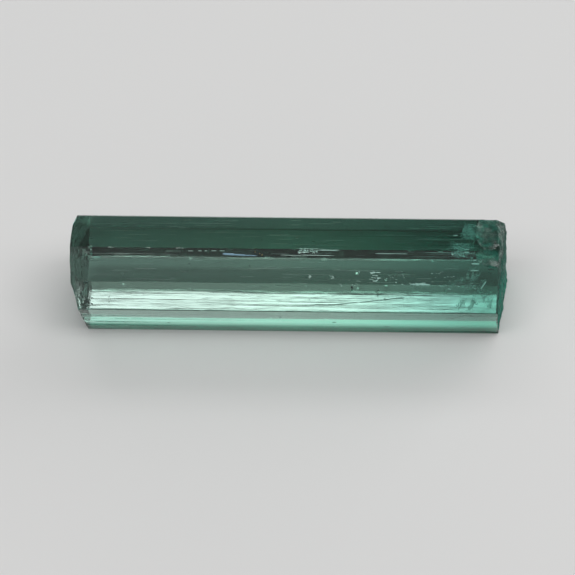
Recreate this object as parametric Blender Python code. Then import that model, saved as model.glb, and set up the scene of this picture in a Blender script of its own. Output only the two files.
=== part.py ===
"""Emerald crystal: one hexagonal beryl prism, broken across at both ends, lying on a prism face.

Units are metres, with +Z up. The crystal's long axis runs along X, and the origin is the middle of the
underside. The front faces look towards -Y. Blender runs this file by itself and needs nothing beside it.
"""

import math
import random

import bmesh
import bpy
from mathutils import Matrix, Vector, noise

MM = 0.001

# Cross-section: each prism face by the direction it looks in, in degrees from straight up towards +Y,
# and its distance from the middle of the section. The directions are 60 degrees apart, as on all beryl, but
# growth steps lean the top slightly towards the back.
HEIGHT = 6.74 * MM
PRISM_FACES = {
    "top": (1.4, HEIGHT / 2),
    "upper_back": (60, 2.44 * MM),
    "lower_back": (120, 4.48 * MM),
    "underside": (180, HEIGHT / 2),
    "lower_front": (240, 3.41 * MM),
    "upper_front": (300, 3.50 * MM),
}

# Narrow second-order faces along three of the long edges: direction, and distance from the middle.
EDGE_FACES = {
    "top_back_edge": (30, 3.28 * MM),
    "back_edge": (90, 3.965 * MM),
    "front_edge": (270, 3.965 * MM),
}

# Each end is broken across along a few planes that meet. For each plane: its distance past the end, above the
# middle of the underside, and how much further it reaches along X for each unit of +Y and of +Z.
LEFT_END = -13.00 * MM
LEFT_PLANES = {
    "square_break": (0.04 * MM, 0.0, -0.006),
    "leaning_foot": (0.39 * MM, -0.18, -0.19),
    "leaning_back": (-0.01 * MM, 0.18, 0.0),
    "worn_shoulder": (-1.46 * MM, 0.23, 0.22),
    "worn_corner": (-9.44 * MM, 1.50, 1.20),
}
RIGHT_END = 12.85 * MM
RIGHT_PLANES = {
    "square_break": (0.0, 0.058, 0.008),
    "chipped_back": (0.44 * MM, -0.12, 0.0),
    "chipped_foot": (-0.035 * MM, 0.127, 0.096),
    "worn_top": (5.70 * MM, -0.15, -0.90),
}

# Ripples on the broken ends: the strike point they spread from, as Y and Z, then their spacing and height.
# Roughness: the size of its lumps, and their height.
LEFT_RIPPLES = ((-3.2 * MM, 1.2 * MM), 1.3 * MM, 0.030 * MM)
RIGHT_RIPPLES = ((2.4 * MM, 6.2 * MM), 1.1 * MM, 0.035 * MM)
LEFT_ROUGHNESS = (0.9 * MM, 0.045 * MM)
RIGHT_ROUGHNESS = (0.8 * MM, 0.050 * MM)

# Where the underside stops at each end: the distance along X halfway across, and how much further along X
# for each unit towards +Y. A narrow worn facet leads up from there to the break.
LEFT_FOOT = (-12.245 * MM, -0.029)
RIGHT_FOOT = (12.660 * MM, 0.0654)
FOOT_WEAR_SLOPE = 45

# The block that the prism is cleaved from, and the grid that the blocks past its ends are shaped on.
BLOCK_LENGTH = 32 * MM
BLOCK_SIDE = 14 * MM
BREAK_SIDE = 11.2 * MM
BREAK_STEPS = 30

# The chip at the top of the right end. For each hollow: how far back from the end its middle lies, the share
# of the way across its face, its half length, half width and half depth, and the height of its middle.
CHIP_HOLLOWS = {
    "top": (0.70 * MM, 0.69, (1.05 * MM, 2.60 * MM, 0.50 * MM), 0.28 * MM),
    "upper_front": (0.30 * MM, 0.94, (1.30 * MM, 0.86 * MM, 0.34 * MM), 0.12 * MM),
}

# Growth ledges: long, very shallow steps on the prism faces, each in a lane of its own.
LEDGE_SEED = 11
LANE_WIDTH = 0.62 * MM
LEDGE_DEPTH = (0.010 * MM, 0.024 * MM)
LEDGE_WIDTH = (0.16 * MM, 0.40 * MM)
LEDGE_LENGTH = (4.0 * MM, 15.0 * MM)
LEDGE_RUN_OUT = 2.4

# Pits on the faces. On the two faces that show most they have set places: the distance along X, the share of
# the way across the face going round over the top towards +Y, and the radius. Elsewhere they are scattered.
PLACED_PITS = {
    "top": [
        (-11.78 * MM, 0.25, 0.08 * MM),
        (-1.54 * MM, 0.85, 0.10 * MM),
        (-1.51 * MM, 0.27, 0.07 * MM),
        (0.04 * MM, 0.77, 0.09 * MM),
        (0.58 * MM, 0.35, 0.10 * MM),
        (1.56 * MM, 0.23, 0.07 * MM),
    ],
    "upper_front": [
        (-11.73 * MM, 0.89, 0.08 * MM),
        (-11.73 * MM, 0.81, 0.06 * MM),
        (-10.50 * MM, 0.86, 0.07 * MM),
        (-9.39 * MM, 0.83, 0.07 * MM),
        (-8.34 * MM, 0.71, 0.06 * MM),
        (-8.34 * MM, 0.59, 0.08 * MM),
        (-8.34 * MM, 0.50, 0.06 * MM),
        (3.92 * MM, 0.36, 0.10 * MM),
        (5.48 * MM, 0.28, 0.08 * MM),
    ],
}
SCATTERED_PIT_FACES = ("upper_back", "lower_back", "lower_front")
PIT_SEED = 5
PITS_PER_FACE = 7
PIT_RADIUS = (0.06 * MM, 0.15 * MM)
PIT_STRETCH = (1.0, 2.6)

# Nicks along the long edges.
NICKED_EDGES = ("top", "upper_back", "lower_front", "upper_front")
NICK_SEED = 24
NICK_SIZE = (0.10 * MM, 0.24 * MM)
NICK_STRETCH = (1.2, 3.0)
NICK_GAP = (0.9 * MM, 3.4 * MM)

GREEN = (0.42, 0.86, 0.71, 1.0)


def clear_scene():
    for item in list(bpy.data.objects):
        bpy.data.objects.remove(item)


def collection(name):
    made = bpy.data.collections.new(name)
    bpy.context.scene.collection.children.link(made)
    return made


def object_from(mesh, name, group):
    """Turns a bmesh into an object in the given collection."""
    data = bpy.data.meshes.new(name)
    bmesh.ops.recalc_face_normals(mesh, faces=mesh.faces)
    mesh.to_mesh(data)
    mesh.free()
    made = bpy.data.objects.new(name, data)
    group.objects.link(made)
    return made


def cutter(mesh, name, group):
    made = object_from(mesh, name, group)
    made.hide_render = True
    made.display_type = "WIRE"
    return made


def cut_away(target, tool):
    """Takes the tool's volume out of the target."""
    modifier = target.modifiers.new(tool.name, "BOOLEAN")
    modifier.operation = "DIFFERENCE"
    modifier.solver = "EXACT"
    modifier.object = tool


def outward(angle):
    turn = math.radians(angle)
    return Vector((0, math.sin(turn), math.cos(turn)))


def axis_point():
    return Vector((0, 0, HEIGHT / 2))


def face_corner(first, second):
    """The point of the section where two faces' planes cross, measured from the axis."""
    (a, p), (b, q) = first, second
    u, v = outward(a), outward(b)
    across = u.y * v.z - u.z * v.y
    return Vector((0, (p * v.z - q * u.z) / across, (q * u.y - p * v.y) / across))


def face_edges(name):
    """Where the named prism face starts and ends in the section, going round with the other faces."""
    names = list(PRISM_FACES)
    place = names.index(name)
    before = PRISM_FACES[names[place - 1]]
    after = PRISM_FACES[names[(place + 1) % len(names)]]
    own = PRISM_FACES[name]
    return face_corner(before, own) + axis_point(), face_corner(own, after) + axis_point()


def cleave(mesh, point, direction):
    """Removes all that lies beyond the plane through a point and closes the cut with a flat face."""
    cut = bmesh.ops.bisect_plane(
        mesh,
        geom=mesh.verts[:] + mesh.edges[:] + mesh.faces[:],
        dist=1e-8,
        plane_co=point,
        plane_no=direction,
        clear_outer=True,
    )
    rim = [item for item in cut["geom_cut"] if isinstance(item, bmesh.types.BMEdge)]
    bmesh.ops.contextual_create(mesh, geom=rim)


def prism(group):
    """A long block, cleaved by each prism face, the narrow faces along its edges and the worn feet."""
    mesh = bmesh.new()
    bmesh.ops.create_cube(mesh, size=1)
    bmesh.ops.scale(mesh, vec=(BLOCK_LENGTH, BLOCK_SIDE, BLOCK_SIDE), verts=mesh.verts)
    bmesh.ops.translate(mesh, vec=axis_point(), verts=mesh.verts)
    for angle, distance in [*PRISM_FACES.values(), *EDGE_FACES.values()]:
        cleave(mesh, axis_point() + outward(angle) * distance, outward(angle))
    for side, (along, slant) in ((-1, LEFT_FOOT), (1, RIGHT_FOOT)):
        rise = math.radians(FOOT_WEAR_SLOPE)
        facing = Vector((side, -side * slant, 0)) * math.sin(rise) - Vector((0, 0, math.cos(rise)))
        cleave(mesh, Vector((along, 0, 0)), facing.normalized())
    return object_from(mesh, "emerald_crystal", group)


def ripples(y, z, strike, spacing, height):
    """Conchoidal ripples that spread from a strike point and fade away from it."""
    reach = math.hypot(y - strike[0], z - strike[1])
    return height * math.sin(2 * math.pi * reach / spacing) * math.exp(-reach / (4 * spacing))


def roughness(y, z, size, height):
    return height * noise.noise(Vector((y / size, z / size, 0.5)))


def plane_reach(plane, y, z):
    past_end, across, up = plane
    return past_end + across * y + up * z


def left_break(y, z):
    """Distance along X of the left end's surface: square across, leaning in at its foot, one corner worn."""
    surface = max(plane_reach(plane, y, z) for plane in LEFT_PLANES.values())
    return LEFT_END + surface + ripples(y, z, *LEFT_RIPPLES) + roughness(y, z, *LEFT_ROUGHNESS)


def right_break(y, z):
    """Distance along X of the right end's surface: nearly square, and chipped or worn at three corners."""
    surface = min(plane_reach(plane, y, z) for plane in RIGHT_PLANES.values())
    return RIGHT_END + surface - ripples(y, z, *RIGHT_RIPPLES) + roughness(y, z, *RIGHT_ROUGHNESS)


def beyond_break(name, surface, far, group):
    """A block that holds all that is missing past one end. Its inner face follows the broken surface."""
    mesh = bmesh.new()
    grid = bmesh.ops.create_grid(mesh, x_segments=BREAK_STEPS, y_segments=BREAK_STEPS, size=0.5)
    for vert in grid["verts"]:
        y = vert.co.x * BREAK_SIDE
        z = vert.co.y * BREAK_SIDE + HEIGHT / 2
        vert.co = (surface(y, z), y, z)
    rim = [edge for edge in mesh.edges if edge.is_boundary]
    walls = bmesh.ops.extrude_edge_only(mesh, edges=rim)["geom"]
    for vert in [item for item in walls if isinstance(item, bmesh.types.BMVert)]:
        vert.co.x = far
    lid = [item for item in walls if isinstance(item, bmesh.types.BMEdge)]
    bmesh.ops.contextual_create(mesh, geom=lid)
    return cutter(mesh, name, group)


def on_face(name, along, across):
    """A point of a prism face, at a distance along the crystal and a share of the way across the face."""
    start, end = face_edges(name)
    return start.lerp(end, across) + Vector((along, 0, 0))


def face_frame(name, point, tilt=0.0):
    """The matrix of a frame on a face: X along the crystal, Z out of the face, tipped end to end by tilt."""
    out = outward(PRISM_FACES[name][0])
    along = Vector((math.cos(tilt), 0, 0)) + out * math.sin(tilt)
    across = out.cross(along).normalized()
    axes = Matrix((along, across, along.cross(across))).transposed()
    return Matrix.Translation(point) @ axes.to_4x4()


def growth_ledges(name, luck, group):
    """Long shallow steps on one face. Each is deepest where it meets a broken end, and runs out inwards."""
    mesh = bmesh.new()
    start, end = face_edges(name)
    lanes = int((end - start).length / LANE_WIDTH)
    for lane in range(lanes):
        length = luck.uniform(*LEDGE_LENGTH)
        width = luck.uniform(*LEDGE_WIDTH)
        depth = luck.uniform(*LEDGE_DEPTH)
        side = luck.choice((-1, 1))
        along = side * (RIGHT_END + 1 * MM - length / 2)
        point = on_face(name, along, (lane + luck.uniform(0.4, 0.6)) / lanes)
        tilt = -side * LEDGE_RUN_OUT * depth / length
        lift = Matrix.Translation((0, 0, 0.5 * MM - depth))
        shape = Matrix.Diagonal((length, width, 1 * MM, 1))
        bmesh.ops.create_cube(mesh, size=1, matrix=face_frame(name, point, tilt) @ lift @ shape)
    return cutter(mesh, f"ledges_{name}", group)


def scattered_pits(luck):
    """Places of pits spaced along a face, in the same form as the placed ones."""
    stretch = 0.86 * (RIGHT_END - LEFT_END) / PITS_PER_FACE
    places = []
    for place in range(PITS_PER_FACE):
        along = LEFT_END * 0.86 + (place + luck.uniform(0.2, 0.8)) * stretch
        places.append((along, luck.uniform(0.16, 0.84), luck.uniform(*PIT_RADIUS)))
    return places


def growth_pits(name, places, luck, group):
    """Small etched pits on one face, each a six-sided hollow like the crystal's own outline."""
    mesh = bmesh.new()
    for along, across, radius in places:
        narrow = Matrix.Diagonal((luck.uniform(*PIT_STRETCH), 1, 1, 1))
        sink = Matrix.Translation((0, 0, luck.uniform(0.1, 0.3) * radius))
        bmesh.ops.create_cone(
            mesh,
            cap_ends=True,
            segments=6,
            radius1=radius * 0.2,
            radius2=radius * 1.25,
            depth=radius * 1.3,
            matrix=face_frame(name, on_face(name, along, across)) @ sink @ narrow,
        )
    return cutter(mesh, f"pits_{name}", group)


def corner_chip(group):
    """The shell-shaped chip at the top of the right end: a hollow in each of two faces that meet there."""
    tools = []
    for face, (back_from_end, across, size, lift) in CHIP_HOLLOWS.items():
        point = on_face(face, RIGHT_END - back_from_end, across)
        raised = Matrix.Translation((0, 0, lift))
        mesh = bmesh.new()
        place = face_frame(face, point) @ raised @ Matrix.Diagonal((*size, 1))
        bmesh.ops.create_icosphere(mesh, subdivisions=3, radius=1, matrix=place)
        tools.append(cutter(mesh, f"chip_{face}", group))
    return tools


def edge_nicks(name, luck, group):
    """Nicks along the long edge where the named face ends: flattened, faceted hollows, unevenly spaced."""
    mesh = bmesh.new()
    corner = face_edges(name)[1]
    along = LEFT_END + 1.2 * MM
    while along < RIGHT_END - 2.8 * MM:
        size = luck.uniform(*NICK_SIZE)
        spin = Matrix.Rotation(luck.uniform(0, math.pi), 4, Vector((1, 0.3, 0.2)))
        shape = Matrix.Diagonal((size * luck.uniform(*NICK_STRETCH), size * 0.7, size * 0.7, 1))
        out = (corner - axis_point()).normalized()
        point = corner + out * size * 0.42 + Vector((along, 0, 0))
        bmesh.ops.create_icosphere(
            mesh, subdivisions=1, radius=1, matrix=Matrix.Translation(point) @ shape @ spin
        )
        along += luck.uniform(*NICK_GAP)
    return cutter(mesh, f"nicks_{name}", group)


def emerald(crystal):
    """Clear bluish-green beryl."""
    material = bpy.data.materials.new("emerald")
    material.use_nodes = True
    shader = material.node_tree.nodes["Principled BSDF"]
    shader.inputs["Base Color"].default_value = GREEN
    shader.inputs["Roughness"].default_value = 0.05
    shader.inputs["IOR"].default_value = 1.58
    shader.inputs["Transmission Weight"].default_value = 1.0
    crystal.data.materials.append(material)


def build():
    clear_scene()
    parts = collection("emerald_crystal")
    cutters = collection("cutters")
    crystal = prism(parts)
    emerald(crystal)
    ledge_luck = random.Random(LEDGE_SEED)
    pit_luck = random.Random(PIT_SEED)
    nick_luck = random.Random(NICK_SEED)
    tools = [
        growth_ledges(name, ledge_luck, cutters)
        for name in ("top", "upper_back", "lower_front", "upper_front")
    ]
    pits = dict(PLACED_PITS)
    for name in SCATTERED_PIT_FACES:
        pits[name] = scattered_pits(pit_luck)
    tools += [growth_pits(name, places, pit_luck, cutters) for name, places in pits.items()]
    tools += [edge_nicks(name, nick_luck, cutters) for name in NICKED_EDGES]
    tools.append(beyond_break("left_break", left_break, -BLOCK_LENGTH, cutters))
    tools.append(beyond_break("right_break", right_break, BLOCK_LENGTH, cutters))
    tools += corner_chip(cutters)
    for tool in tools:
        cut_away(crystal, tool)


build()
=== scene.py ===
"""A rough emerald crystal on a pale floor, in metres and in the part's own frame."""

import math
import random

import bpy
from mathutils import Matrix, Vector


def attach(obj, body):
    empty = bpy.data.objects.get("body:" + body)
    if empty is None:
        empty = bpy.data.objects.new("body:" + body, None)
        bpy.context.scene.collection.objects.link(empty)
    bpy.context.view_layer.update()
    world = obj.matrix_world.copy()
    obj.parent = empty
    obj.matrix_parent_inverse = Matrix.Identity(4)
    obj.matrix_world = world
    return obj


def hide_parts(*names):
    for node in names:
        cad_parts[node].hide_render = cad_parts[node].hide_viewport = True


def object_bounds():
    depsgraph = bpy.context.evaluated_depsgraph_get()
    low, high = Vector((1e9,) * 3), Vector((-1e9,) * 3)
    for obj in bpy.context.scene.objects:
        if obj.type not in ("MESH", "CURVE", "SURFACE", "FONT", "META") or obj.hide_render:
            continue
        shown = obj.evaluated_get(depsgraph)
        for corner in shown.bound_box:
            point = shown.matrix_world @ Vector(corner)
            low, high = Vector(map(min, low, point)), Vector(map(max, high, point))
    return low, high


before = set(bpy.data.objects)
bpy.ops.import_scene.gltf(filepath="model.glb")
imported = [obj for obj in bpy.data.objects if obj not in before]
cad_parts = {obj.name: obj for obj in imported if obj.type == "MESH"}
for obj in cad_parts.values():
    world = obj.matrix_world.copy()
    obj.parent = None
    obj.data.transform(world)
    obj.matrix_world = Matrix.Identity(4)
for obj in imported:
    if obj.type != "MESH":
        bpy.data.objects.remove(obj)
cad_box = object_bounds()
scene = bpy.context.scene

# --- Camera ---------------------------------------------------------------------------------------
# A long lens, about half a metre away, that looks down on the front of the crystal from a little to its
# right. Its angles are in degrees.
MM = 0.001
CAMERA_ELEVATION = 42.7
CAMERA_AZIMUTH = 4.8
CAMERA_ROLL = -2.6
CAMERA_DISTANCE = 480 * MM
CAMERA_AIM = Vector((-0.05, -1.93, 3.53)) * MM
camera_data = bpy.data.cameras.new("camera")
camera_data.sensor_width = 36
camera_data.lens = 500
camera_data.clip_start = 0.01
camera_data.clip_end = 20
camera = bpy.data.objects.new("camera", camera_data)
scene.collection.objects.link(camera)
swing = Matrix.Rotation(math.radians(CAMERA_AZIMUTH), 4, "Z")
swing = swing @ Matrix.Rotation(math.radians(90 - CAMERA_ELEVATION), 4, "X")
swing = swing @ Matrix.Rotation(math.radians(CAMERA_ROLL), 4, "Z")
away = Matrix.Translation((0, 0, CAMERA_DISTANCE))
camera.matrix_world = Matrix.Translation(CAMERA_AIM) @ swing @ away
scene.camera = camera

# --- Floor ----------------------------------------------------------------------------------------
# A plain pale studio floor, matte, that the crystal lies on. It is a hair under the crystal's flat side, so
# that the two never share a surface.
FLOOR_WIDTH = 2000 * MM
FLOOR_GAP = 0.01 * MM
bpy.ops.object.select_all(action="DESELECT")
bpy.ops.mesh.primitive_plane_add(size=FLOOR_WIDTH, location=(0, 0, -FLOOR_GAP))
floor = bpy.context.active_object
floor.name = "floor"
bpy.ops.object.transform_apply(location=True, rotation=False, scale=False)
floor_paint = bpy.data.materials.new("pale_floor")
floor_paint.use_nodes = True
paint = floor_paint.node_tree.nodes["Principled BSDF"]
paint.inputs["Base Color"].default_value = (0.72, 0.72, 0.715, 1)
paint.inputs["Roughness"].default_value = 0.6
paint.inputs["Specular IOR Level"].default_value = 0.2
floor.data.materials.append(floor_paint)

# --- Light ----------------------------------------------------------------------------------------
# A dim studio with a wide softbox high in front, which lights the floor, and one behind, which shines
# through the crystal. Cards low behind, in front and on the right light its foot and its left end. The
# picture keeps plain colours, with no film look.
scene.view_settings.view_transform = "Standard"
STUDIO = 0.18
world = bpy.data.worlds.new("studio")
scene.world = world
world.use_nodes = True
world.node_tree.nodes["Background"].inputs["Color"].default_value = (1, 1, 1, 1)
world.node_tree.nodes["Background"].inputs["Strength"].default_value = STUDIO


def softbox(name, azimuth, low, high, half_width, distance, brightness):
    """A lamp between two elevations, in degrees, that faces the crystal. Azimuth 0 is behind it."""
    light = bpy.data.lights.new(name, "AREA")
    light.shape = "RECTANGLE"
    light.size = 2 * distance * math.tan(math.radians(half_width))
    light.size_y = 2 * distance * math.tan(math.radians((high - low) / 2))
    light.energy = math.pi * light.size * light.size_y * brightness
    lamp = bpy.data.objects.new(name, light)
    scene.collection.objects.link(lamp)
    around, up = math.radians(azimuth), math.radians((low + high) / 2)
    towards = Vector((math.sin(around) * math.cos(up), math.cos(around) * math.cos(up), math.sin(up)))
    lamp.location = towards * distance
    lamp.rotation_euler = towards.to_track_quat("Z", "Y").to_euler()


softbox("back_softbox", azimuth=0, low=42.2, high=56, half_width=26, distance=0.6, brightness=2.05)
softbox("low_back_card", azimuth=0, low=2, high=14, half_width=30, distance=0.6, brightness=2.7)
softbox("low_front_card", azimuth=176, low=8, high=28, half_width=30, distance=0.7, brightness=0.3)
softbox("side_card", azimuth=52, low=3, high=38, half_width=24, distance=0.6, brightness=1.9)
softbox("front_softbox", azimuth=168, low=47, high=70, half_width=34, distance=0.9, brightness=4.4)

# --- Crystal --------------------------------------------------------------------------------------
# One hexagonal prism of clear green beryl, grown as one piece and broken across at both ends. It lies
# loose on one of its long faces. It is made from a merged copy of the solid, cut finer.

# Face directions are in degrees from straight up, turning about the crystal's length.
FACE_DIRECTIONS = (1.4, 30, 60, 90, 120, 180, 240, 270, 300)
FLAT_WITHIN = math.cos(math.radians(2.0))
BROKEN_FROM = 10.9 * MM
MERGE_WITHIN = 0.0001 * MM
SHARP_FROM = math.radians(25)
crystal = bpy.data.objects.new("crystal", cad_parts["emerald_crystal"].data.copy())
scene.collection.objects.link(crystal)
bpy.ops.object.select_all(action="DESELECT")
crystal.select_set(True)
bpy.context.view_layer.objects.active = crystal
bpy.ops.object.mode_set(mode="EDIT")
bpy.ops.mesh.select_all(action="SELECT")
bpy.ops.mesh.remove_doubles(threshold=MERGE_WITHIN)
bpy.ops.object.mode_set(mode="OBJECT")
bpy.ops.object.shade_smooth_by_angle(angle=SHARP_FROM)
flat_normals = [
    Vector((0, math.sin(math.radians(turn)), math.cos(math.radians(turn)))) for turn in FACE_DIRECTIONS
]
broken = crystal.data.attributes.new("broken", "FLOAT", "FACE")
for face in crystal.data.polygons:
    is_prism_face = any(face.normal.dot(flat) > FLAT_WITHIN for flat in flat_normals)
    face.use_smooth = not is_prism_face
    broken.data[face.index].value = not is_prism_face and abs(face.center.x) > BROKEN_FROM

# All faces are cut finer, and the broken ones carry shell-like ripples that spread from where the end was
# struck, with small hackles over them. Both only sink into the crystal. Strikes are in millimetres, and
# Blender's ring patterns turn through 20 radians in each unit.
STRIKES = {"left": (-13.0, -3.2, 1.2), "right": (13.0, 2.4, 6.2)}
RIPPLE_SPACING = 0.75 * MM
RIPPLE_DEPTH = 0.035 * MM
HACKLE_SIZE = 0.80 * MM
HACKLE_DEPTH = 0.16 * MM
RINGS_PER_UNIT = 20 / (2 * math.pi)
bpy.ops.object.mode_set(mode="EDIT")
bpy.ops.mesh.select_mode(type="FACE")
bpy.ops.mesh.select_all(action="SELECT")
bpy.ops.mesh.subdivide(number_cuts=3)
bpy.ops.object.mode_set(mode="OBJECT")
broken = crystal.data.attributes["broken"]
rim = set()
for face in crystal.data.polygons:
    if broken.data[face.index].value < 0.5:
        rim.update(face.vertices)
hackles = bpy.data.textures.new("hackles", "CLOUDS")
hackles.noise_type = "HARD_NOISE"
hackles.noise_scale = HACKLE_SIZE
hackles.noise_depth = 3
shells = bpy.data.textures.new("shells", "WOOD")
shells.wood_type = "RINGNOISE"
shells.noise_scale = 0.9
shells.turbulence = 14.0
helpers = []
for end, strike in STRIKES.items():
    inner = [
        point.index
        for point in crystal.data.vertices
        if point.index not in rim and abs(point.co.x) > BROKEN_FROM and point.co.x * strike[0] > 0
    ]
    group = crystal.vertex_groups.new(name=f"{end}_break")
    group.add(inner, 1.0, "REPLACE")
    bpy.ops.object.empty_add(location=Vector(strike) * MM)
    helpers.append(bpy.context.active_object)
    helpers[-1].scale = (RIPPLE_SPACING * RINGS_PER_UNIT,) * 3
    ripples = crystal.modifiers.new(f"{end}_ripples", "DISPLACE")
    ripples.texture = shells
    ripples.texture_coords = "OBJECT"
    ripples.texture_coords_object = helpers[-1]
    ripples.direction = "X"
    ripples.strength = -math.copysign(RIPPLE_DEPTH, strike[0])
    ripples.mid_level = 0
    ripples.vertex_group = group.name
    hackled = crystal.modifiers.new(f"{end}_hackles", "DISPLACE")
    hackled.texture = hackles
    hackled.direction = "X"
    hackled.strength = -math.copysign(HACKLE_DEPTH, strike[0])
    hackled.mid_level = 0
    hackled.vertex_group = group.name
bpy.ops.object.select_all(action="DESELECT")
crystal.select_set(True)
bpy.context.view_layer.objects.active = crystal
bpy.context.view_layer.update()
for modifier in list(crystal.modifiers):
    bpy.ops.object.modifier_apply(modifier=modifier.name)
for helper in helpers:
    bpy.data.objects.remove(helper)

# Clear beryl. Only its tint, its polish and its fine relief change over the surface.
CLEAR_ROUGHNESS = 0.03
BREAK_ROUGHNESS = 0.22
emerald = bpy.data.materials.new("emerald")
emerald.use_nodes = True
nodes, links = emerald.node_tree.nodes, emerald.node_tree.links
shader = nodes["Principled BSDF"]
shader.inputs["IOR"].default_value = 1.58
shader.inputs["Transmission Weight"].default_value = 1.0
absorb = nodes.new("ShaderNodeVolumeAbsorption")
absorb.inputs["Color"].default_value = (0.15, 0.45, 0.32, 1)
absorb.inputs["Density"].default_value = 100
links.new(absorb.outputs["Volume"], nodes["Material Output"].inputs["Volume"])

place = nodes.new("ShaderNodeTexCoord")


def striae(width, length, detail):
    """Fine lines along the crystal, of about the given width and length in metres."""
    stretch = nodes.new("ShaderNodeMapping")
    stretch.inputs["Scale"].default_value = (1 / length, 1 / width, 1 / width)
    links.new(place.outputs["Object"], stretch.inputs["Vector"])
    lines = nodes.new("ShaderNodeTexNoise")
    lines.inputs["Scale"].default_value = 1
    lines.inputs["Detail"].default_value = detail
    links.new(stretch.outputs["Vector"], lines.inputs["Vector"])
    return lines.outputs["Fac"]


def bump(height, distance, under=None):
    """Relief of the given depth in metres, laid over the relief under it."""
    made = nodes.new("ShaderNodeBump")
    made.inputs["Strength"].default_value = 1
    made.inputs["Distance"].default_value = distance
    links.new(height, made.inputs["Height"])
    if under is not None:
        links.new(under, made.inputs["Normal"])
    return made.outputs["Normal"]


def between(value, low, high, out_low=0.0, out_high=1.0):
    """Runs from out_low to out_high as the value goes from low to high."""
    made = nodes.new("ShaderNodeMapRange")
    made.inputs["From Min"].default_value = low
    made.inputs["From Max"].default_value = high
    made.inputs["To Min"].default_value = out_low
    made.inputs["To Max"].default_value = out_high
    links.new(value, made.inputs["Value"])
    return made.outputs["Result"]


def blend(mask, first, second, kind="RGBA", how="MIX"):
    """First where the mask is 0 and second where it is 1."""
    made = nodes.new("ShaderNodeMix")
    made.data_type = kind
    made.blend_type = how
    sockets = [item for item in made.inputs if item.enabled]
    for name, value in (("Factor", mask), ("A", first), ("B", second)):
        socket = next(item for item in sockets if item.name == name)
        if isinstance(value, bpy.types.NodeSocket):
            links.new(value, socket)
        else:
            socket.default_value = value
    return next(item for item in made.outputs if item.enabled)


def make_cloudy_patches():
    """A node group that gives soft patches, by their size in metres and how finely they break up."""
    made = bpy.data.node_groups.new("cloudy_patches", "ShaderNodeTree")
    for socket in ("Size", "Detail"):
        made.interface.new_socket(socket, in_out="INPUT", socket_type="NodeSocketFloat")
    made.interface.new_socket("Amount", in_out="OUTPUT", socket_type="NodeSocketFloat")
    taken = made.nodes.new("NodeGroupInput")
    given = made.nodes.new("NodeGroupOutput")
    spot = made.nodes.new("ShaderNodeTexCoord")
    per_metre = made.nodes.new("ShaderNodeMath")
    per_metre.operation = "DIVIDE"
    per_metre.inputs[0].default_value = 1
    noise = made.nodes.new("ShaderNodeTexNoise")
    made.links.new(taken.outputs["Size"], per_metre.inputs[1])
    made.links.new(per_metre.outputs[0], noise.inputs["Scale"])
    made.links.new(taken.outputs["Detail"], noise.inputs["Detail"])
    made.links.new(spot.outputs["Object"], noise.inputs["Vector"])
    made.links.new(noise.outputs["Fac"], given.inputs["Amount"])
    return made


cloudy_patches = make_cloudy_patches()


def patches(size, detail):
    """The cloudy patches, placed in the material at hand."""
    made = nodes.new("ShaderNodeGroup")
    made.node_tree = cloudy_patches
    made.inputs["Size"].default_value = size
    made.inputs["Detail"].default_value = detail
    return made.outputs["Amount"]


fracture = nodes.new("ShaderNodeAttribute")
fracture.attribute_name = "broken"
is_broken = fracture.outputs["Fac"]

along = nodes.new("ShaderNodeSeparateXYZ")
links.new(place.outputs["Object"], along.inputs["Vector"])
at_x, at_y, at_z = (along.outputs[axis] for axis in "XYZ")


def times(first, second):
    """One mask or height times another."""
    made = nodes.new("ShaderNodeMath")
    made.operation = "MULTIPLY"
    for socket, value in zip(made.inputs, (first, second)):
        links.new(value, socket)
    return made.outputs[0]


# Growth lines run along the faces, broad ones under fine ones, and the top is smoother than the rest.
TOP_FROM = 6.60 * MM
LINES_ON_TOP = 0.25
BROAD_DEPTH = 0.006 * MM
FINE_DEPTH = 0.0024 * MM
GRAIN_SIZE = 0.14 * MM
GRAIN_DEPTH = 0.03 * MM
lined = between(at_z, TOP_FROM, TOP_FROM + 0.10 * MM, 1.0, LINES_ON_TOP)
broad = bump(times(striae(width=0.55 * MM, length=30 * MM, detail=2), lined), BROAD_DEPTH)
fine = bump(times(striae(width=0.09 * MM, length=9 * MM, detail=3), lined), FINE_DEPTH, broad)
rough_break = bump(patches(GRAIN_SIZE, detail=4), GRAIN_DEPTH)
links.new(blend(is_broken, fine, rough_break, "VECTOR"), shader.inputs["Normal"])
roughness = between(is_broken, 0, 1, CLEAR_ROUGHNESS, BREAK_ROUGHNESS)
links.new(roughness, shader.inputs["Roughness"])

# The green deepens towards the right end. Zones are a place along the crystal in millimetres, and a tint.
ZONES = [
    (-13.0, (0.92, 0.93, 0.955)),
    (-5.0, (0.90, 0.95, 0.95)),
    (0.0, (0.87, 1.00, 0.97)),
    (4.0, (0.72, 0.92, 0.88)),
    (7.4, (0.50, 0.78, 0.74)),
    (9.8, (0.36, 0.66, 0.62)),
    (11.5, (0.24, 0.56, 0.50)),
    (13.0, (0.22, 0.54, 0.48)),
]
FROM_LEFT, TO_RIGHT = ZONES[0][0], ZONES[-1][0]
BREAK_TINT = (0.42, 1.0, 0.86, 1)
zones = nodes.new("ShaderNodeValToRGB")
while len(zones.color_ramp.elements) < len(ZONES):
    zones.color_ramp.elements.new(0.5)
for stop, (x, tint) in zip(zones.color_ramp.elements, ZONES):
    stop.position = (x - FROM_LEFT) / (TO_RIGHT - FROM_LEFT)
    stop.color = (*tint, 1)
links.new(between(at_x, FROM_LEFT * MM, TO_RIGHT * MM), zones.inputs["Fac"])
tint = blend(is_broken, zones.outputs["Color"], BREAK_TINT)


def shaded(mask, colour, shade):
    """The colour, multiplied by the shade where the mask is 1."""
    return blend(mask, colour, blend(1.0, colour, (*shade, 1), how="MULTIPLY"))


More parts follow.
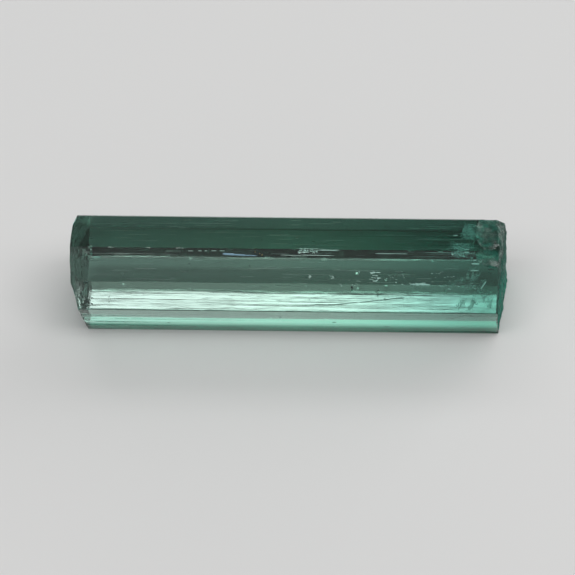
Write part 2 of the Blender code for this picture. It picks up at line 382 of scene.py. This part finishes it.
# Painted shade: the surface is tinted darker and greener on the top and underneath, and darkest at the foot
# of the front and low at the back, next to the floor. The lower half of the front is a little greener. Each
# pair of distances is where a tint starts and where it is full.
FRONT = (-1.9 * MM, -2.0 * MM)
BACK = (3.05 * MM, 3.20 * MM)
SHADED_UNDERSIDE = (0.03 * MM, 0.01 * MM)
SHADED_LOW_BACK = (1.34 * MM, 1.29 * MM)
UNDER_FRONT_EDGE = (3.56 * MM, 3.50 * MM)
SHADED_FRONT_FOOT = (1.65 * MM, 0.90 * MM)
tint = shaded(between(at_z, TOP_FROM, TOP_FROM + 0.06 * MM), tint, (0.62, 0.80, 0.75))
tint = shaded(between(at_z, *SHADED_UNDERSIDE), tint, (0.40, 0.60, 0.53))
tint = shaded(times(between(at_y, *BACK), between(at_z, *SHADED_LOW_BACK)), tint, (0.09, 0.20, 0.16))
in_front = between(at_y, *FRONT)
tint = shaded(times(in_front, between(at_z, *UNDER_FRONT_EDGE)), tint, (0.74, 1.00, 0.92))
tint = shaded(times(in_front, between(at_z, *SHADED_FRONT_FOOT)), tint, (0.02, 0.08, 0.06))
links.new(tint, shader.inputs["Base Color"])
crystal.data.materials.clear()
crystal.data.materials.append(emerald)
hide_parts("emerald_crystal")
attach(crystal, "root")

# --- Bruised skin ---------------------------------------------------------------------------------
# The broken ends and the chip are crushed to a frosty green skin, thinner in patches. It is no layer of
# its own: it is the broken part of the crystal's surface, copied and raised by a hair. It stops short of
# the crystal's outermost faces.
SKIN_LIFT = 0.004 * MM
SKIN_EDGE = 0.03 * MM


def finish_piece(piece, name, material):
    """Names a piece and joins it to the crystal."""
    piece.name = name
    piece.data.materials.clear()
    piece.data.materials.append(material)
    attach(piece, "root")


skin = bpy.data.objects.new("bruised_skin", crystal.data.copy())
scene.collection.objects.link(skin)
bpy.ops.object.select_all(action="DESELECT")
skin.select_set(True)
bpy.context.view_layer.objects.active = skin
bruised = skin.data.attributes["broken"]
widest, highest = cad_box[1][1] - SKIN_EDGE, cad_box[1][2] - SKIN_EDGE
for face in skin.data.polygons:
    outermost = abs(face.center.y) > widest or face.center.z > highest or face.center.z < SKIN_EDGE
    at_rim = any(point in rim for point in face.vertices)
    face.select = bruised.data[face.index].value < 0.5 or outermost or at_rim
bpy.ops.object.mode_set(mode="EDIT")
bpy.ops.mesh.delete(type="FACE")
bpy.ops.mesh.select_all(action="SELECT")
bpy.ops.transform.shrink_fatten(value=SKIN_LIFT)
bpy.ops.object.mode_set(mode="OBJECT")
frost = bpy.data.materials.new("bruised_green")
frost.use_nodes = True
nodes, links = frost.node_tree.nodes, frost.node_tree.links
shader = nodes["Principled BSDF"]
shader.inputs["Roughness"].default_value = 0.6
shader.inputs["Specular IOR Level"].default_value = 0.05
place = nodes.new("ShaderNodeTexCoord")
along = nodes.new("ShaderNodeSeparateXYZ")
links.new(place.outputs["Object"], along.inputs["Vector"])
at_x, at_z = along.outputs["X"], along.outputs["Z"]

# Each end has a green for its upper part and a paler one for its foot, and the paler foot is painted light.
# The mottle makes the green darker and lighter in patches, and the cover is how much of the clear crystal
# it hides.
LEFT_GREENS = ((0.030, 0.062, 0.053, 1), (0.080, 0.170, 0.143, 1))
RIGHT_GREENS = ((0.016, 0.090, 0.066, 1), (0.024, 0.185, 0.132, 1))
LIT_FOOT = (4.2 * MM, 2.4 * MM)
CHIP = (5.0 * MM, 5.5 * MM)
at_lit_foot = between(at_z, *LIT_FOOT)
on_right = between(at_x, -MM, MM)
skin_green = blend(on_right, blend(at_lit_foot, *LEFT_GREENS), blend(at_lit_foot, *RIGHT_GREENS))
end_mottle = between(patches(0.8 * MM, detail=3), 0.30, 0.70, out_low=0.75, out_high=1.3)
end_patches = patches(1.4 * MM, detail=3)
left_cover = between(end_patches, 0.35, 0.65, out_low=0.35, out_high=0.75)
right_cover = between(end_patches, 0.35, 0.62, out_low=0.5, out_high=0.90)
end_cover = blend(on_right, left_cover, right_cover, "FLOAT")
# Up at the chip the skin is thinner and more broken.
at_chip = between(at_z, *CHIP)
chip_mottle = between(patches(0.30 * MM, detail=6), 0.36, 0.66, out_low=0.35, out_high=2.0)
chip_cover = between(patches(0.55 * MM, detail=6), 0.40, 0.62, out_low=0.1, out_high=0.7)
mottle = blend(at_chip, end_mottle, chip_mottle, "FLOAT")
links.new(blend(1.0, skin_green, mottle, how="MULTIPLY"), shader.inputs["Base Color"])
links.new(blend(at_chip, end_cover, chip_cover, "FLOAT"), shader.inputs["Alpha"])

# Shell-like rings spread over each break from where it was struck, with crushed lumps and grain over them.
RING_DEPTH = 0.09 * MM
LUMP_SIZE = 0.60 * MM
LUMP_DEPTH = 0.14 * MM
strike_at = blend(on_right, Vector(STRIKES["left"]) * MM, Vector(STRIKES["right"]) * MM, "VECTOR")
from_strike = nodes.new("ShaderNodeVectorMath")
from_strike.operation = "SUBTRACT"
links.new(place.outputs["Object"], from_strike.inputs[0])
links.new(strike_at, from_strike.inputs[1])
rings = nodes.new("ShaderNodeTexWave")
rings.wave_type = "RINGS"
rings.rings_direction = "SPHERICAL"
rings.inputs["Scale"].default_value = 1 / (RIPPLE_SPACING * RINGS_PER_UNIT)
rings.inputs["Distortion"].default_value = 6
rings.inputs["Detail"].default_value = 3
rings.inputs["Detail Scale"].default_value = 1.5
links.new(from_strike.outputs["Vector"], rings.inputs["Vector"])
crushed = bump(patches(LUMP_SIZE, detail=3), LUMP_DEPTH, bump(rings.outputs["Fac"], RING_DEPTH))
links.new(bump(patches(GRAIN_SIZE, detail=4), GRAIN_DEPTH, crushed), shader.inputs["Normal"])
finish_piece(skin, "bruised_skin", frost)

# --- Growth tubes ---------------------------------------------------------------------------------
# Hair-thin hollow needles that grew inside the crystal, all along its axis. They catch the light as
# pale dashes. One is modelled, and the rest are stretched copies of it. Lengths are in millimetres.
TUBE_SEED = 8
TUBES = 110
TUBE_LENGTH = (0.5, 4.2)
TUBE_RADIUS = (0.005 * MM, 0.012 * MM)
TUBE_MARGIN = 0.25 * MM
SHORTEST_HALF = 0.2
TUBE_SPREAD = ((-11.5, 11.0), (-3.6, 3.6), (0.4, 6.5))
# The needle is modelled as a unit long and a unit in radius: a body with a short tapered tip at each end.
BODY = 0.7
TIP = 0.15
TAPER = 0.15


def copies(model, places):
    """Copies of one modelled shape at the given places, joined, with their place in the mesh."""
    made = []
    for place_of_copy in places:
        copy = model.copy()
        copy.data = model.data.copy()
        scene.collection.objects.link(copy)
        copy.matrix_world = place_of_copy
        made.append(copy)
    bpy.ops.object.select_all(action="DESELECT")
    for copy in made:
        copy.select_set(True)
    bpy.context.view_layer.objects.active = made[0]
    bpy.ops.object.join()
    bpy.ops.object.transform_apply(location=True, rotation=True, scale=True)
    return bpy.context.active_object


def inside_by(point, margin):
    """Whether a point lies at least the margin under the crystal's surface."""
    _, near, normal, _ = crystal.closest_point_on_mesh(point)
    depth = near - point
    return depth.dot(normal) > 0 and depth.length > margin


def inner_matter(name, colour, opacity, roughness):
    """The look of what is caught inside the crystal, solid where the opacity is 1."""
    made = bpy.data.materials.new(name)
    made.use_nodes = True
    look = made.node_tree.nodes["Principled BSDF"]
    look.inputs["Base Color"].default_value = (*colour, 1)
    look.inputs["Roughness"].default_value = roughness
    look.inputs["Alpha"].default_value = opacity
    return made


bpy.ops.object.select_all(action="DESELECT")
bpy.ops.mesh.primitive_cylinder_add(vertices=6, radius=1, depth=BODY, rotation=(0, math.pi / 2, 0))
needle = bpy.context.active_object
bpy.ops.object.transform_apply(location=False, rotation=True, scale=False)
# A new cylinder is selected all over, so the first extrude takes every face and not only the end. It leaves
# stray faces inside the needle, and the tip on the far side is open on two of its six sides.
for side in (-1, 1):
    for face in needle.data.polygons:
        face.select = face.normal.x * side > 0.9
    bpy.ops.object.mode_set(mode="EDIT")
    bpy.ops.mesh.select_mode(type="FACE")
    bpy.ops.mesh.extrude_region_move(TRANSFORM_OT_translate={"value": (side * TIP, 0, 0)})
    bpy.ops.transform.resize(value=(1, TAPER, TAPER))
    bpy.ops.mesh.select_all(action="DESELECT")
    bpy.ops.object.mode_set(mode="OBJECT")
bpy.ops.object.shade_smooth()


def needle_between(start, end, radius, flat=1.0):
    """The place of a needle from start to end, both in millimetres. Under 1, flat makes it a thin blade."""
    start, end = Vector(start) * MM, Vector(end) * MM
    turn = (end - start).to_track_quat("X", "Z")
    size = Vector(((end - start).length, radius * flat, radius))
    return Matrix.LocRotScale((start + end) / 2, turn, size)


luck = random.Random(TUBE_SEED)
places = []
while len(places) < TUBES:
    middle = Vector([luck.uniform(*span) for span in TUBE_SPREAD])
    half = Vector((luck.uniform(*TUBE_LENGTH) * luck.random() / 2 + SHORTEST_HALF, 0, 0))
    if all(inside_by((middle + half_way) * MM, TUBE_MARGIN) for half_way in (half, -half)):
        places.append(needle_between(middle - half, middle + half, luck.uniform(*TUBE_RADIUS)))
tube_film = inner_matter("tube_film", (0.86, 0.98, 0.94), opacity=0.6, roughness=0.3)
finish_piece(copies(needle, places), "growth_tubes", tube_film)

# --- Bright flaws ---------------------------------------------------------------------------------
# Small open cracks and films just under the faces. Most lie along the edge between the top and the wide
# front face, with crowded patches of flecks there and lower down, and one bluish film among them. All are
# copies of the needle. Start, end and radius are in millimetres.
FLAWS = [
    ((-5.91, -2.06, 6.56), (-5.60, -2.06, 6.56), 0.018),
    ((-5.30, -2.06, 6.57), (-5.08, -2.06, 6.57), 0.022),
    ((-4.92, -2.05, 6.57), (-4.74, -2.05, 6.57), 0.016),
    ((-4.52, -2.05, 6.58), (-4.20, -2.05, 6.58), 0.020),
    ((-4.02, -2.05, 6.58), (-3.69, -2.05, 6.58), 0.015),
    ((-0.39, -2.16, 6.38), (0.90, -2.16, 6.39), 0.012),
    ((0.70, -2.16, 6.39), (2.91, -2.15, 6.41), 0.016),
    ((1.89, -2.00, 6.66), (3.21, -1.99, 6.67), 0.022),
    ((5.30, -2.08, 6.53), (6.50, -2.08, 6.53), 0.018),
    ((6.30, -2.08, 6.53), (7.28, -2.07, 6.53), 0.012),
    ((-1.64, 0.65, 6.34), (-1.48, 0.65, 6.34), 0.035),
    ((-0.04, 0.40, 6.34), (0.08, 0.40, 6.34), 0.035),
    ((0.52, -0.83, 6.34), (0.62, -0.83, 6.34), 0.035),
    ((-1.58, -1.05, 6.34), (-1.48, -1.05, 6.34), 0.035),
    ((1.48, -1.17, 6.34), (1.60, -1.17, 6.34), 0.035),
    ((-11.84, -1.13, 6.34), (-11.78, -1.13, 6.34), 0.035),
    ((-11.80, -1.75, 6.34), (-11.72, -1.75, 6.34), 0.035),
    ((11.96, -2.51, 4.85), (11.62, -2.76, 4.42), 0.035),
    ((11.05, -1.97, 5.74), (11.55, -1.97, 5.74), 0.050),
    ((11.15, -1.88, 5.94), (11.35, -1.88, 5.94), 0.040),
    ((11.00, -2.20, 5.40), (11.50, -2.20, 5.40), 0.030),
    ((9.88, -1.93, 6.48), (9.98, -1.96, 6.36), 0.040),
    ((9.90, -0.50, 6.45), (10.20, -0.50, 6.45), 0.045),
    ((10.60, -1.75, 6.45), (10.95, -1.75, 6.45), 0.030),
]
# Patches of flecks: two opposite corners, how many flecks, and their longest length and thickest radius.
FLECK_PATCHES = [
    ((0.62, -1.98, 6.42), (1.84, -1.84, 6.56), 46, 0.16, 0.022),
    ((4.92, -2.54, 5.50), (5.46, -2.84, 4.98), 17, 0.34, 0.030),
    ((7.30, -2.88, 4.93), (8.42, -2.95, 4.80), 34, 0.30, 0.026),
    ((1.28, -2.66, 5.30), (1.54, -2.78, 5.08), 9, 0.12, 0.026),
    ((2.54, -2.66, 5.30), (2.80, -2.78, 5.08), 8, 0.12, 0.026),
    ((3.10, -2.80, 5.05), (4.40, -2.98, 4.72), 12, 0.16, 0.016),
    ((6.00, -2.60, 5.40), (7.20, -2.95, 4.80), 16, 0.14, 0.015),
    ((8.60, -2.50, 5.60), (11.20, -3.05, 4.60), 30, 0.20, 0.016),
]
FLECK_SEED = 3
FLECK_DRIFT = (0.02, 0.03)
SHORTEST_FLECK = 0.2
THINNEST_FLECK = 0.35
glowing_flaw_film = inner_matter("glowing_flaw_film", (0.95, 1.00, 0.98), opacity=1.0, roughness=0.25)
flaw_look = glowing_flaw_film.node_tree.nodes["Principled BSDF"]
flaw_look.inputs["Metallic"].default_value = 0.35
# Painted light: the flaws glow faintly, so that they glint like lit cracks.
flaw_look.inputs["Emission Color"].default_value = (0.75, 1.00, 0.93, 1)
flaw_look.inputs["Emission Strength"].default_value = 0.2
places = [needle_between(start, end, radius * MM) for start, end, radius in FLAWS]
luck = random.Random(FLECK_SEED)
for corner, opposite, flecks, longest, thickest in FLECK_PATCHES:
    corner, opposite = Vector(corner), Vector(opposite)
    for _ in range(flecks):
        start = corner.lerp(opposite, luck.random())
        start.x = luck.uniform(corner.x, opposite.x)
        length = luck.uniform(SHORTEST_FLECK, 1) * longest
        drift = [luck.uniform(-most, most) for most in FLECK_DRIFT]
        radius = luck.uniform(THINNEST_FLECK, 1) * thickest * MM
        places.append(needle_between(start, start + Vector((length, *drift)), radius))
finish_piece(copies(needle, places), "bright_flaws", glowing_flaw_film)

glowing_blue_film = inner_matter("glowing_blue_film", (0.55, 0.74, 0.92), opacity=0.8, roughness=0.2)
blue_look = glowing_blue_film.node_tree.nodes["Principled BSDF"]
# Painted light: the bluish film glows faintly too.
blue_look.inputs["Emission Color"].default_value = (0.40, 0.66, 0.90, 1)
blue_look.inputs["Emission Strength"].default_value = 0.14
# The bluish film lies as three thin blades that overlap.
STREAK = [
    ((-3.85, -1.98, 6.30), (-3.05, -1.99, 6.26), 0.080),
    ((-3.45, -1.99, 6.27), (-2.35, -2.00, 6.22), 0.055),
    ((-2.75, -2.00, 6.24), (-1.75, -2.01, 6.20), 0.030),
]
BLADE = 0.4
places = [needle_between(start, end, radius * MM, BLADE) for start, end, radius in STREAK]
finish_piece(copies(needle, places), "blue_streak", glowing_blue_film)

# --- Dark specks ----------------------------------------------------------------------------------
# Grains of dark mica caught in the crystal, three rusty stains, and closed cracks that show dark, one of
# them long. Grains are six-sided crystals, given as a place and a size in millimetres.
GRAINS = [
    ((3.92, -3.03, 4.64), 0.085),
    ((5.48, -3.13, 4.47), 0.060),
    ((-11.71, -3.45, 3.92), 0.055),
    ((-11.71, -3.63, 3.60), 0.060),
    ((-10.68, -3.41, 3.99), 0.040),
    ((-10.68, -3.57, 3.72), 0.045),
]
GRAIN_SEED = 31
MORE_GRAINS = 34
GRAIN_MARGIN = 0.15 * MM
GRAIN_SPREAD = ((-12.0, 12.0), (-3.7, 3.7), (0.3, 6.6))
GRAIN_SIZES = (0.012, 0.035)
RUST = [((-1.90, -1.90, 6.42), 0.055), ((-1.48, -1.99, 6.25), 0.060), ((-1.62, -1.95, 6.33), 0.035)]
# The grain is modelled about a unit in radius, wider one way than the other, with blunt edges.
GRAIN_HEIGHT = 1.1
GRAIN_STRETCH = (1.25, 0.85, 1)
GRAIN_BEVEL = 0.2

bpy.ops.object.select_all(action="DESELECT")
bpy.ops.mesh.primitive_cylinder_add(vertices=6, radius=1, depth=GRAIN_HEIGHT)
grain_model = bpy.context.active_object
bpy.ops.object.mode_set(mode="EDIT")
bpy.ops.mesh.select_all(action="SELECT")
bpy.ops.transform.resize(value=GRAIN_STRETCH)
bpy.ops.mesh.bevel(offset=GRAIN_BEVEL, segments=1)
bpy.ops.object.mode_set(mode="OBJECT")


def grain_at(point, size, luck):
    """The place of a grain, turned at random."""
    facing = Vector([luck.uniform(-1, 1) for _ in range(3)])
    return Matrix.LocRotScale(Vector(point) * MM, facing.to_track_quat("Z", "Y"), Vector((size * MM,) * 3))


luck = random.Random(GRAIN_SEED)
places = [grain_at(point, size, luck) for point, size in GRAINS]
while len(places) < len(GRAINS) + MORE_GRAINS:
    point = Vector([luck.uniform(*span) for span in GRAIN_SPREAD])
    if inside_by(point * MM, GRAIN_MARGIN):
        places.append(grain_at(point, luck.uniform(*GRAIN_SIZES), luck))
mica = inner_matter("dark_mica", (0.035, 0.055, 0.05), opacity=1.0, roughness=0.4)
finish_piece(copies(grain_model, places), "mica_grains", mica)
rust = inner_matter("rust", (0.42, 0.25, 0.09), opacity=0.8, roughness=0.6)
places = [grain_at(point, size, luck) for point, size in RUST]
finish_piece(copies(grain_model, places), "rust_stains", rust)

# The long crack runs through these points, just under the wide front face.
CRACK = [
    (1.60, -3.56, 3.66),
    (2.90, -3.55, 3.72),
    (4.30, -3.49, 3.84),
    (5.60, -3.42, 3.98),
    (7.10, -3.32, 4.14),
]
CRACK_RADIUS = 0.030 * MM
# Shorter cracks, each with a start, an end and a radius.
SHORT_CRACKS = [
    ((11.25, -0.75, 6.25), (11.70, -1.30, 6.15), 0.060),
    ((11.55, -0.55, 6.20), (11.45, -1.25, 6.10), 0.050),
    ((12.00, -2.15, 5.50), (12.45, -2.15, 5.45), 0.040),
    ((12.05, -2.25, 5.30), (12.40, -2.28, 5.20), 0.035),
    ((10.25, -3.35, 3.20), (10.50, -3.20, 3.60), 0.025),
    ((-12.20, -2.95, 4.72), (-11.95, -2.95, 4.74), 0.080),
]
crack_film = inner_matter("crack_film", (0.06, 0.17, 0.14), opacity=0.8, roughness=0.3)
places = [needle_between(start, end, CRACK_RADIUS, BLADE) for start, end in zip(CRACK, CRACK[1:])]
places += [needle_between(start, end, radius * MM, BLADE) for start, end, radius in SHORT_CRACKS]
finish_piece(copies(needle, places), "closed_cracks", crack_film)

# --- Healed cracks --------------------------------------------------------------------------------
# Curved sheets of tiny droplets where old cracks closed again, crowded behind the chipped end. Each is a
# thin bent sheet, cloudy in patches, that stops short of the crystal's faces.
VEILS = [
    # Middle, direction of the length, direction of the width, length, width and bend in degrees.
    ((11.00, -0.10, 6.30), (1.0, -0.2, -0.1), (0.15, 1.0, 0.12), 1.1, 1.3, 20),
    ((10.85, -2.72, 4.30), (1.1, 0.8, 2.0), (0.6, 0.75, -0.5), 2.6, 0.9, 35),
    ((11.35, -2.80, 4.00), (0.8, 0.6, 1.6), (0.5, 0.85, -0.4), 2.2, 0.8, 30),
    ((11.75, -2.70, 3.70), (1.0, 0.1, -0.35), (0.1, 0.55, 0.85), 1.3, 1.0, 40),
    ((10.50, -1.45, 6.15), (1.0, 0.0, -0.1), (0.0, 1.0, 0.3), 1.3, 0.7, 30),
    ((11.30, 0.90, 4.20), (0.3, 0.5, 1.0), (0.3, 1.0, -0.5), 2.6, 2.0, 45),
    ((10.40, 0.70, 2.40), (1.0, 0.2, 0.4), (0.0, 1.0, -0.4), 2.4, 1.6, 30),
]
VEIL_MARGIN = 0.08 * MM
VEIL_THICKNESS = 0.006 * MM
VEIL_BUCKLE = 0.30 * MM
WAVE_SIZE = 0.7 * MM
veil_film = bpy.data.materials.new("veil_film")
veil_film.use_nodes = True
nodes, links = veil_film.node_tree.nodes, veil_film.node_tree.links
look = nodes["Principled BSDF"]
look.inputs["Base Color"].default_value = (0.72, 0.97, 0.90, 1)
look.inputs["Roughness"].default_value = 0.35
droplets = blend(0.3, patches(0.75 * MM, detail=4), patches(0.10 * MM, detail=2), "FLOAT")
links.new(between(droplets, 0.44, 0.66, out_high=0.6), look.inputs["Alpha"])

waves = bpy.data.textures.new("veil_waves", "CLOUDS")
waves.noise_scale = WAVE_SIZE
sheets = []
for middle, lengthwise, sideways, length, width, bend in VEILS:
    bpy.ops.object.select_all(action="DESELECT")
    bpy.ops.mesh.primitive_grid_add(x_subdivisions=30, y_subdivisions=20, size=1)
    sheet = bpy.context.active_object
    bpy.ops.object.mode_set(mode="EDIT")
    bpy.ops.mesh.select_all(action="SELECT")
    bpy.ops.transform.resize(value=(length * MM, width * MM, 1))
    bpy.ops.mesh.select_mode(type="VERT")
    bpy.ops.mesh.select_all(action="DESELECT")
    bpy.ops.object.mode_set(mode="OBJECT")
    curve = sheet.modifiers.new("curve", "SIMPLE_DEFORM")
    curve.deform_method = "BEND"
    curve.deform_axis = "Y"
    curve.angle = math.radians(bend)
    buckle = sheet.modifiers.new("buckle", "DISPLACE")
    buckle.texture = waves
    buckle.strength = VEIL_BUCKLE
    for modifier in list(sheet.modifiers):
        bpy.ops.object.modifier_apply(modifier=modifier.name)
    x_axis = Vector(lengthwise).normalized()
    z_axis = x_axis.cross(Vector(sideways)).normalized()
    axes = Matrix((x_axis, z_axis.cross(x_axis), z_axis)).transposed()
    sheet.matrix_world = Matrix.Translation(Vector(middle) * MM) @ axes.to_4x4()
    bpy.ops.object.transform_apply(location=True, rotation=True, scale=True)
    for point in sheet.data.vertices:
        point.select = not inside_by(point.co, VEIL_MARGIN)
    bpy.ops.object.mode_set(mode="EDIT")
    bpy.ops.mesh.delete(type="VERT")
    bpy.ops.object.mode_set(mode="OBJECT")
    thickness = sheet.modifiers.new("thickness", "SOLIDIFY")
    thickness.thickness = VEIL_THICKNESS
    bpy.ops.object.modifier_apply(modifier=thickness.name)
    bpy.ops.object.shade_smooth()
    sheets.append(sheet)
bpy.ops.object.select_all(action="DESELECT")
for sheet in sheets:
    sheet.select_set(True)
bpy.context.view_layer.objects.active = sheets[0]
bpy.ops.object.join()
finish_piece(bpy.context.active_object, "healed_cracks", veil_film)

# The two models that the copies were made from are no pieces of the crystal.
for model in (needle, grain_model):
    bpy.data.objects.remove(model)
